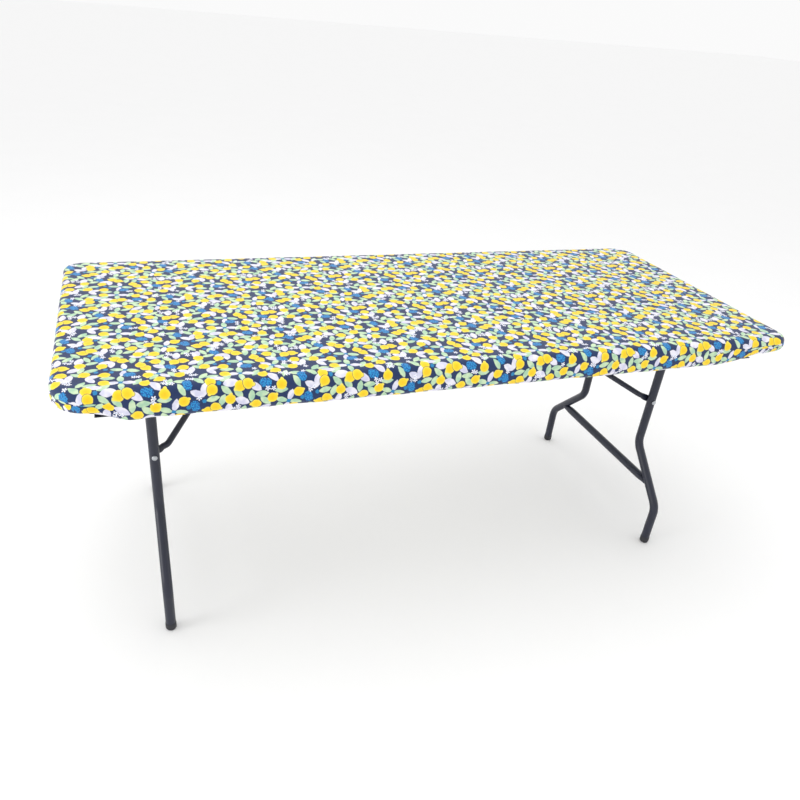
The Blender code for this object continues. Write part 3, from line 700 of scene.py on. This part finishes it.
def cloth_profile(rows):
    """Rings of the cloth outside its flat middle: distance out from the base point, and height."""
    lift = hem_lift(rows)
    side_folds, corner_folds = gathers(rows)
    swell = 0.0012 + 0.0006 * np.sin(rows[:, 4] * 2 * np.pi / 0.41)
    swell += RIGHT_END_SWELL * np.clip(rows[:, 2], 0, 1) ** 2
    front = np.clip(-rows[:, 3], 0, 1) ** 2
    edge_radius = OTHER_EDGE_RADIUS + (FRONT_EDGE_RADIUS - OTHER_EDGE_RADIUS) * front
    edge = CORNER_RADIUS + stand_off(rows)
    rings = []
    for step in range(1, TOP_STEPS + 1):
        share = step / TOP_STEPS
        rings.append((share * (edge - edge_radius), CLOTH_TOP + 0 * lift))
    for step in range(1, EDGE_STEPS + 1):
        angle = math.pi / 2 * step / EDGE_STEPS
        out = edge - edge_radius * (1 - math.sin(angle)) + 0.5 * swell * math.sin(angle) ** 2
        rings.append((out, CLOTH_TOP - edge_radius * (1 - math.cos(angle))))
    wall_top = CLOTH_TOP - edge_radius
    tuck_start = TUCK_START + lift
    for step in range(1, WALL_STEPS + 1):
        share = step / WALL_STEPS
        height = wall_top + (tuck_start - wall_top) * share
        puff = swell * (0.5 + 0.5 * math.sin(math.pi * share * 0.5))
        rings.append((edge + puff + share * 0.2 * (side_folds + corner_folds), height))
    for step in range(1, TUCK_STEPS + 1):
        share = step / TUCK_STEPS
        angle = TUCK_TURN * share
        inset = TUCK_WIDTH * (1 - math.cos(angle))
        puff = swell * math.cos(math.pi / 2 * share)
        folds = (0.2 + 0.8 * share) * (side_folds + corner_folds)
        out = CORNER_RADIUS + (edge - CORNER_RADIUS) * (1 - share**2) - inset + puff + folds
        height = tuck_start - (TUCK_START - TUCK_LOW) * math.sin(angle) + 0.35 * share * side_folds
        rings.append(clear_of_slab(out, height))
    return rings


def clear_of_slab(out, height):
    """Keeps the tucked cloth below the slab's rounded lower edge and its underside."""
    inset = CORNER_RADIUS - SLAB_GAP - out
    past = np.clip(inset, 0, SLAB_UNDER_EDGE)
    rounded = SLAB_UNDER_EDGE - np.sqrt(SLAB_UNDER_EDGE**2 - (SLAB_UNDER_EDGE - past) ** 2)
    lowest = np.minimum(height, SLAB_UNDERSIDE + rounded - TUCK_GAP)
    return out, np.where(inset > 0, lowest, height)


def walked_profile(rings):
    """Length of cloth from the base point out to each ring, averaged round the table."""
    lengths = []
    total, last_out, last_height = 0.0, 0.0, CLOTH_TOP
    for out, height in rings:
        out, height = float(np.mean(out)), float(np.mean(height))
        total += math.hypot(out - last_out, height - last_height)
        lengths.append(total)
        last_out, last_height = out, height
    return lengths


def mesh_piece(name, points, faces, cut, materials):
    """A mesh from points, faces and each point's place on the flat cloth, smooth all over."""
    mesh = bpy.data.meshes.new(name)
    mesh.from_pydata(points, [], faces)
    for own in materials:
        mesh.materials.append(own)
    layer = mesh.uv_layers.new(name="cut")
    corners = np.empty(len(mesh.loops), np.int32)
    mesh.loops.foreach_get("vertex_index", corners)
    layer.uv.foreach_set("vector", np.asarray(cut, np.float32)[corners].ravel())
    mesh.shade_smooth()
    mesh.update()
    made = bpy.data.objects.new(name, mesh)
    bpy.context.collection.objects.link(made)
    return made


def make_cloth(print_side, back_side):
    """The printed panel: a flat middle, its rounded edge, skirt and tuck, then its thickness."""
    rows, _ = outline(LONG_CELLS, SHORT_CELLS, CORNER_CELLS)
    rings = cloth_profile(rows)
    lengths = walked_profile(rings)
    across, along = LONG_CELLS + 1, SHORT_CELLS + 1
    far_x, far_y = HALF_LENGTH - CORNER_RADIUS, HALF_WIDTH - CORNER_RADIUS
    grid_x, grid_y = np.meshgrid(np.linspace(-far_x, far_x, across), np.linspace(-far_y, far_y, along))
    points = np.stack([grid_x.ravel(), grid_y.ravel(), np.full(grid_x.size, CLOTH_TOP)], 1)
    cut = [points[:, :2]]
    points = [points]
    for (out, height), length in zip(rings, lengths):
        x, y = rows[:, 0] + rows[:, 2] * out, rows[:, 1] + rows[:, 3] * out
        points.append(np.stack([x, y, height], 1))
        cut.append(rows[:, :2] + rows[:, 2:4] * length)
    column = np.rint((rows[:, 0] + far_x) / (2 * far_x) * LONG_CELLS).astype(int)
    line = np.rint((rows[:, 1] + far_y) / (2 * far_y) * SHORT_CELLS).astype(int)
    inner = list(line * across + column)
    faces = []
    for j in range(SHORT_CELLS):
        for i in range(LONG_CELLS):
            low = j * across + i
            faces.append((low, low + 1, low + 1 + across, low + across))
    start = across * along
    for ring in range(len(rings)):
        outer = list(range(start, start + len(rows)))
        for index in range(len(rows)):
            after = (index + 1) % len(rows)
            if inner[index] == inner[after]:
                faces.append((inner[index], outer[index], outer[after]))
            else:
                faces.append((inner[index], outer[index], outer[after], inner[after]))
        inner = outer
        start += len(rows)
    made = mesh_piece(
        "cloth_sheet", np.concatenate(points), faces, np.concatenate(cut), (print_side, back_side)
    )
    first = LONG_CELLS * SHORT_CELLS
    for side, place, half in HEM_ROLLS:
        for index in np.where((rows[:, 5] == side) & (abs(rows[:, side % 2] - place) < half))[0]:
            for ring in range(*ROLL_RINGS):
                face = first + (len(rings) - TUCK_STEPS + ring) * len(rows) + int(index)
                made.data.polygons[face].material_index = 1
    solid = made.modifiers.new("thickness", "SOLIDIFY")
    solid.thickness = SHEET_THICKNESS
    solid.offset = -1
    solid.material_offset = 1
    solid.material_offset_rim = 1
    bpy.ops.object.select_all(action="DESELECT")
    bpy.context.view_layer.objects.active = made
    made.select_set(True)
    bpy.ops.object.modifier_apply(modifier=solid.name)
    return made


def band_round_hem(name, section, material):
    """A gathered band along the cloth's tucked end. Its section runs outwards and upwards from it."""
    rows, _ = outline(*HEM_CELLS)
    lift = hem_lift(rows)
    side_folds, corner_folds = gathers(rows)
    folds = side_folds + corner_folds
    walked = rows[:, 4]
    pleats = np.sin(walked * 2 * np.pi / 0.0105 + 1.1 * np.sin(walked * 2 * np.pi / 0.063))
    end_out = CORNER_RADIUS - TUCK_WIDTH * (1 - math.cos(TUCK_TURN)) + folds
    end_height = TUCK_START + lift - (TUCK_START - TUCK_LOW) * math.sin(TUCK_TURN)
    end_height = np.minimum(end_height, SLAB_UNDERSIDE - HEM_GAP)
    pressed = np.clip((SLAB_UNDERSIDE - 0.0003 - end_height) / 0.0090, 0.12, 1)
    points, cut = [], []
    walked_round = 0.0
    for across, up in section:
        out = end_out + across * (1 + 0.06 * pleats)
        height = end_height + (up * (1 + 0.05 * pleats) + 0.0003 * pleats) * pressed
        x, y = rows[:, 0] + rows[:, 2] * out, rows[:, 1] + rows[:, 3] * out
        points.append(np.stack([x, y, height], 1))
        walked_round += 0.003
        cut.append(np.stack([walked, np.full(len(rows), walked_round)], 1))
    faces = []
    for ring in range(len(section)):
        low, high = ring * len(rows), (ring + 1) % len(section) * len(rows)
        for index in range(len(rows)):
            after = (index + 1) % len(rows)
            faces.append((low + index, high + index, high + after, low + after))
    return mesh_piece(name, np.concatenate(points), faces, np.concatenate(cut), (material,))


# --- tube work ---------------------------------------------------------------------------------


def begin_ring(name, centre, rotation, half_sizes):
    """Starts a piece as one oval ring of edges, in edit mode, and leaves the ring selected."""
    bpy.ops.object.select_all(action="DESELECT")
    bpy.ops.mesh.primitive_circle_add(
        vertices=RING_SIDES, radius=1, location=centre, rotation=rotation
    )
    piece = bpy.context.active_object
    piece.name = name
    piece.data.name = name
    bpy.ops.object.mode_set(mode="EDIT")
    bpy.ops.mesh.select_all(action="SELECT")
    bpy.ops.transform.resize(value=half_sizes, center_override=centre)
    return piece


def draw_out(*move):
    """Draws the selected ring out into a length of tube."""
    bpy.ops.mesh.extrude_edges_move(TRANSFORM_OT_translate={"value": move})


def bend(centre, axis, angle, steps=8):
    """Carries the selected ring round a bend."""
    bpy.ops.mesh.spin(steps=steps, angle=angle, center=centre, axis=axis)


def finish_piece(piece, material, sharp=40):
    """Closes the open ends, turns the faces outwards and puts the object at the origin."""
    bpy.ops.mesh.select_all(action="SELECT")
    bpy.ops.mesh.fill_holes(sides=0)
    bpy.ops.mesh.select_all(action="SELECT")
    bpy.ops.mesh.normals_make_consistent(inside=False)
    bpy.ops.object.mode_set(mode="OBJECT")
    bpy.ops.object.transform_apply(location=True, rotation=True, scale=True)
    bpy.ops.object.shade_smooth_by_angle(angle=math.radians(sharp))
    piece.data.materials.append(material)
    return piece


def copied(piece, name, matrix):
    """A copy with its own mesh, moved or mirrored by the matrix."""
    made = piece.copy()
    made.data = piece.data.copy()
    made.name = name
    made.data.name = name
    made.data.transform(matrix)
    if matrix.determinant() < 0:
        made.data.flip_normals()
    bpy.context.collection.objects.link(made)
    return made


def mirrored(end, side):
    """Mirrors the right end's back piece to the end and side given by their signs."""
    return Matrix.Diagonal((end, side, 1, 1))


def drawn_rings(name, rings, material, sharp=40):
    """A straight piece along +Z: each ring gives its two half sizes and its height."""
    half_x, half_y, low = rings[0]
    piece = begin_ring(name, (0, 0, low), (0, 0, 0), (half_x, half_y, 1))
    for wide_x, wide_y, height in rings[1:]:
        draw_out(0, 0, height - low)
        scale = (wide_x / half_x, wide_y / half_y, 1)
        bpy.ops.transform.resize(value=scale, center_override=(0, 0, height))
        half_x, half_y, low = wide_x, wide_y, height
    return finish_piece(piece, material, sharp)


def make_leg(material):
    """The bent leg of the right end's back, from inside its pivot tube down to its foot."""
    low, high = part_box("right_leg_back")
    radius = (high[0] - low[0]) / 2
    x = (high[0] + low[0]) / 2
    upper, lower = low[1] + radius, high[1] - radius
    slant = math.atan2(lower - upper, UPPER_BEND_HEIGHT - LOWER_BEND_HEIGHT)
    reach = LEG_BEND_RADIUS * math.tan(slant / 2)
    slope = math.hypot(lower - upper, UPPER_BEND_HEIGHT - LOWER_BEND_HEIGHT) - 2 * reach
    piece = begin_ring("leg_tube", (x, upper, PIVOT_Z), (0, 0, 0), (radius, radius, 1))
    for step in range(6):
        draw_out(0, 0, -(PIVOT_Z - UPPER_BEND_HEIGHT - reach) / 6)
    bend((x, upper + LEG_BEND_RADIUS, UPPER_BEND_HEIGHT + reach), (1, 0, 0), -slant)
    draw_out(0, slope * math.sin(slant), -slope * math.cos(slant))
    bend((x, lower - LEG_BEND_RADIUS, LOWER_BEND_HEIGHT - reach), (1, 0, 0), slant)
    draw_out(0, 0, -(LOWER_BEND_HEIGHT - reach - low[2]))
    return finish_piece(piece, material)


def make_arm(material):
    """The bent brace arm of the right end's back, modelled level and then laid on its brace."""
    leg_face, knee_face = 0.1435, 0.0203
    plate, wide, radius = 0.002, 0.010, 0.008
    turn, bend_radius = ARM_SLANT, ARM_BEND_RADIUS
    start_y, end_y = leg_face - radius, knee_face + radius
    upright = (0, math.pi / 2, 0)
    piece = begin_ring("brace_tube", (-0.0100, leg_face - plate, 0), upright, (1, plate * 0.6, wide * 0.45))
    at = Vector((-0.0100, leg_face - plate, 0))
    sizes = [plate * 0.6, wide * 0.45]

    def ring_at(along, across, thick, broad):
        """The next ring: its place along the arm and across the table, and its half sizes."""
        target = Vector((along, across, 0))
        draw_out(*(target - at))
        scale = (1, thick / sizes[0], broad / sizes[1])
        bpy.ops.transform.resize(value=scale, center_override=target)
        at[:] = target
        sizes[:] = [thick, broad]

    for along, share in ((-0.0090, 0.70), (-0.0070, 0.88), (-0.0035, 0.98), (0.0, 1.0), (0.015, 1.0)):
        ring_at(along, leg_face - plate, plate, wide * share)
    ring_at(0.0165, leg_face - plate - 0.0006, plate + 0.0006, 0.0099)
    ring_at(0.0200, leg_face - plate - 0.0030, plate + 0.0030, 0.0092)
    ring_at(0.0235, leg_face - plate - 0.0053, plate + 0.0053, 0.0083)
    ring_at(0.0250, start_y, radius, radius)
    reach = bend_radius * math.tan(turn / 2)
    first = 0.0373 - (start_y - 0.1345) / math.tan(turn) - reach
    ring_at(first, start_y, radius, radius)
    bend((first, start_y - bend_radius, 0), (0, 0, 1), turn)
    after_y = start_y - bend_radius * (1 - math.cos(turn))
    before_y = end_y + bend_radius * (1 - math.cos(turn))
    slope = (after_y - before_y) / math.sin(turn)
    draw_out(slope * math.cos(turn), -slope * math.sin(turn), 0)
    after_x = first + bend_radius * math.sin(turn) + slope * math.cos(turn)
    last = after_x + bend_radius * math.sin(turn)
    bend((last, end_y + bend_radius, 0), (0, 0, 1), -turn)
    at[:] = (last, end_y, 0)
    sizes[:] = [radius, radius]
    ring_at(0.1230, end_y, radius, radius)
    ring_at(0.1245, knee_face + plate + 0.0053, plate + 0.0053, 0.0083)
    ring_at(0.1280, knee_face + plate + 0.0030, plate + 0.0030, 0.0092)
    ring_at(0.1315, knee_face + plate + 0.0006, plate + 0.0006, 0.0099)
    ring_at(0.1330, knee_face + plate, plate, wide)
    for along, share in ((0.0, 1.0), (0.0035, 0.98), (0.0070, 0.88), (0.0090, 0.70), (0.0100, 0.45)):
        thick = plate * (0.6 if share < 0.5 else 1.0)
        ring_at(ARM_LENGTH + along, knee_face + plate, thick, wide * share)
    piece = finish_piece(piece, material)
    piece.data.transform(brace_place())
    return piece


def brace_place():
    """Moves a piece modelled along +X onto the right brace, from the leg's rivet to the anchor."""
    low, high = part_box("right_leg_back")
    rivet = Vector(((high[0] + low[0]) / 2, 0, RIVET_Z))
    along = (ANCHOR_PLACE - rivet).normalized()
    across = Vector((0, 1, 0))
    turn = Matrix((along, across, along.cross(across))).transposed().to_4x4()
    return Matrix.Translation(rivet) @ turn


def make_crossbar(material):
    """The right end's lower bar: a round tube pressed oval where it meets the legs."""
    low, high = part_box("right_crossbar")
    reach, x = high[1] - 0.004, (high[0] + low[0]) / 2
    half = []
    for back, wide, tall in (
        (0.0, 0.0108, 0.0080),
        (0.006, 0.0119, 0.0085),
        (0.012, 0.0122, 0.0086),
        (0.020, 0.0124, 0.0094),
        (0.030, 0.0127, 0.0113),
        (0.040, 0.0127, 0.0125),
        (0.048, 0.0127, 0.0127),
        (0.130, 0.0127, 0.0127),
    ):
        half.append((wide, tall, reach - back))
    rings = [(wide, tall, -height) for wide, tall, height in half] + half[::-1]
    piece = drawn_rings("crossbar_tube", rings, material)
    turn = Matrix.Rotation(-math.pi / 2, 4, "X")
    piece.data.transform(Matrix.Translation((x, 0, CROSSBAR_Z)) @ turn)
    return piece


def make_foot(material):
    """The right back foot: a pressed-on cap with a domed sole and a rolled lip."""
    low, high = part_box("right_foot_back")
    x, y = (low[0] + high[0]) / 2, (low[1] + high[1]) / 2
    outer = (high[0] - low[0]) / 2
    rings = []
    for radius, height in (
        (outer - 0.0060, 0.0),
        (outer - 0.0040, 0.0005),
        (outer - 0.0022, 0.0018),
        (outer - 0.0011, 0.0038),
        (outer - 0.0006, 0.0064),
        (outer - 0.0004, 0.0100),
        (outer - 0.0006, 0.0196),
        (outer - 0.0008, 0.0212),
        (outer - 0.0011, 0.0219),
        (outer - 0.0014, 0.0220),
    ):
        rings.append((radius, radius, height))
    piece = drawn_rings("foot_cap", rings, material)
    piece.data.transform(Matrix.Translation((x, y, 0)))
    return piece


def make_rivet(node, name, material):
    """A domed rivet head with a thin collar, on the outer end of its shank."""
    low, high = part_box(node)
    seat = high[1] - 0.0035
    inner = low[1]
    x, z = (low[0] + high[0]) / 2, (low[2] + high[2]) / 2
    radius = (high[0] - low[0]) / 2
    rings = [(0.0052, 0.0052, inner), (0.0055, 0.0055, inner + 0.0006), (0.0055, 0.0055, inner + 0.0018)]
    rings += [(0.0029, 0.0029, inner + 0.0024), (0.0029, 0.0029, seat)]
    rings += [(radius, radius, seat), (radius, radius, seat + 0.0006)]
    for step in range(1, 7):
        angle = math.pi / 2 * step / 6.4
        out = radius * math.cos(angle)
        rings.append((out, out, seat + 0.0006 + 0.0029 * math.sin(angle)))
    piece = drawn_rings(name, rings, material, 30)
    turn = Matrix.Rotation(-math.pi / 2, 4, "X")
    piece.data.transform(Matrix.Translation((x, 0, z)) @ turn)
    return piece


# --- the object --------------------------------------------------------------------------------

MATERIALS = {
    "printed_polyester": printed_polyester(),
    "hem_fabric": plain_polyester("hem_fabric", "DCE1EA", "EEF1F5"),
    "elastic_braid": plain_polyester("elastic_braid", "E4E4E2", "F2F2F0"),
    "moulded_hdpe": moulded_hdpe(),
    "powder_coated_steel": powder_coated_steel(),
    "zinc_plate": zinc_plate(),
    "foot_plastic": foot_plastic(),
}

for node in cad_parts.values():
    for own in node.material_slots:
        own.material = MATERIALS[own.material.name.split(".")[0]]

cloth = make_cloth(MATERIALS["printed_polyester"], MATERIALS["hem_fabric"])
hem = band_round_hem("hem_channel", HEM_SECTION, MATERIALS["hem_fabric"])
elastic = band_round_hem("elastic_band", ELASTIC_SECTION, MATERIALS["elastic_braid"])
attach(cloth, "table")
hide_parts("cloth_panel")
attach(hem, "table")
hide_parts("hem_casing")
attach(elastic, "table")
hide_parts("hem_elastic")

ENDS = (("right", 1), ("left", -1))
SIDES = (("back", 1), ("front", -1))
steel, zinc, plastic = (
    MATERIALS["powder_coated_steel"],
    MATERIALS["zinc_plate"],
    MATERIALS["foot_plastic"],
)
REPEATED = (
    (make_leg(steel), "leg", "leg_frame", "powder_coated_steel"),
    (make_foot(plastic), "foot", "leg_frame", "foot_plastic"),
    (make_rivet("right_leg_rivet_back", "leg_rivet_head", zinc), "leg_rivet", "leg_frame", "zinc_plate"),
    (make_arm(steel), "brace_arm", "brace_arms", "powder_coated_steel"),
    (make_rivet("right_knee_rivet_back", "knee_rivet_head", zinc), "knee_rivet", "brace_arms", "zinc_plate"),
)
for pattern, node, body, slot in REPEATED:
    for end_name, end in ENDS:
        for side_name, side in SIDES:
            name = f"{pattern.name}_{end_name}_{side_name}"
            piece = copied(pattern, name, mirrored(end, side))
            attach(piece, f"{end_name}_{body}")
            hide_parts(f"{end_name}_{node}_{side_name}")
    bpy.data.objects.remove(pattern)
crossbar = make_crossbar(steel)
for end_name, end in ENDS:
    piece = copied(crossbar, f"{crossbar.name}_{end_name}", mirrored(end, 1))
    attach(piece, f"{end_name}_leg_frame")
    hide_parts(f"{end_name}_crossbar")
bpy.data.objects.remove(crossbar)

# --- floor, light and camera -------------------------------------------------------------------


def make_floor():
    """A wide matt studio floor."""
    made, tree, shader = new_material("studio_floor")
    place = add(tree, "ShaderNodeTexCoord").outputs["Object"]
    cloud = add(tree, "ShaderNodeTexNoise", {"Vector": place, "Scale": 3.0, "Detail": 2.0})
    mixed = {0: cloud.outputs[0], 6: srgb("FAFAFA"), 7: srgb("FCFCFC")}
    colour = add(tree, "ShaderNodeMix", mixed, data_type="RGBA").outputs[2]
    tree.links.new(colour, shader.inputs["Base Color"])
    shader.inputs["Roughness"].default_value = 0.9
    bpy.ops.object.select_all(action="DESELECT")
    bpy.ops.mesh.primitive_plane_add(size=80, location=(0, 0, 0))
    floor = bpy.context.active_object
    floor.name = "studio_floor"
    floor.data.materials.append(made)


def soft_light(name, place, target, size, power):
    """A rectangular softbox that faces its target."""
    data = bpy.data.lights.new(name, "AREA")
    data.shape = "RECTANGLE"
    data.size, data.size_y = size
    data.energy = power
    lamp = bpy.data.objects.new(name, data)
    lamp.location = place
    lamp.rotation_euler = (Vector(target) - Vector(place)).to_track_quat("-Z", "Y").to_euler()
    bpy.context.collection.objects.link(lamp)


def make_camera():
    """The camera: where it stands, where it looks and how it is tilted."""
    azimuth, elevation, roll = math.radians(21.25), math.radians(30.18), math.radians(5.37)
    forward = Vector(
        (
            math.sin(azimuth) * math.cos(elevation),
            math.cos(azimuth) * math.cos(elevation),
            -math.sin(elevation),
        )
    )
    level = Vector((math.cos(azimuth), -math.sin(azimuth), 0))
    upright = level.cross(forward)
    right = level * math.cos(roll) + upright * math.sin(roll)
    up = right.cross(forward)
    data = bpy.data.cameras.new("camera")
    data.sensor_width = 36
    data.lens = 31.89
    data.shift_x = 0.0228
    data.shift_y = 0.0118
    data.clip_end = 200
    camera = bpy.data.objects.new("camera", data)
    turn = Matrix((right, up, -forward)).transposed().to_4x4()
    camera.matrix_world = Matrix.Translation((-0.7391, -1.6661, 1.4425)) @ turn
    bpy.context.collection.objects.link(camera)
    bpy.context.scene.camera = camera


make_floor()
soft_light("overhead_softbox", (-0.3, 0.4, 3.0), (0, 0, 0.7), (3.2, 2.2), 20)
soft_light("front_fill", (-2.2, -3.4, 1.9), (0, 0, 0.6), (2.4, 1.8), 3)
soft_light("right_fill", (3.4, -1.6, 1.6), (0, 0, 0.5), (1.8, 1.6), 6)
soft_light("left_window", (-4.2, -0.6, 1.5), (0, 0, 0.4), (1.6, 2.4), 46)
world = bpy.data.worlds.new("studio")
world.use_nodes = True
world.node_tree.nodes["Background"].inputs["Color"].default_value = srgb("FFFFFF")
world.node_tree.nodes["Background"].inputs["Strength"].default_value = 0.96
bpy.context.scene.world = world
bpy.context.scene.view_settings.view_transform = "Standard"
make_camera()
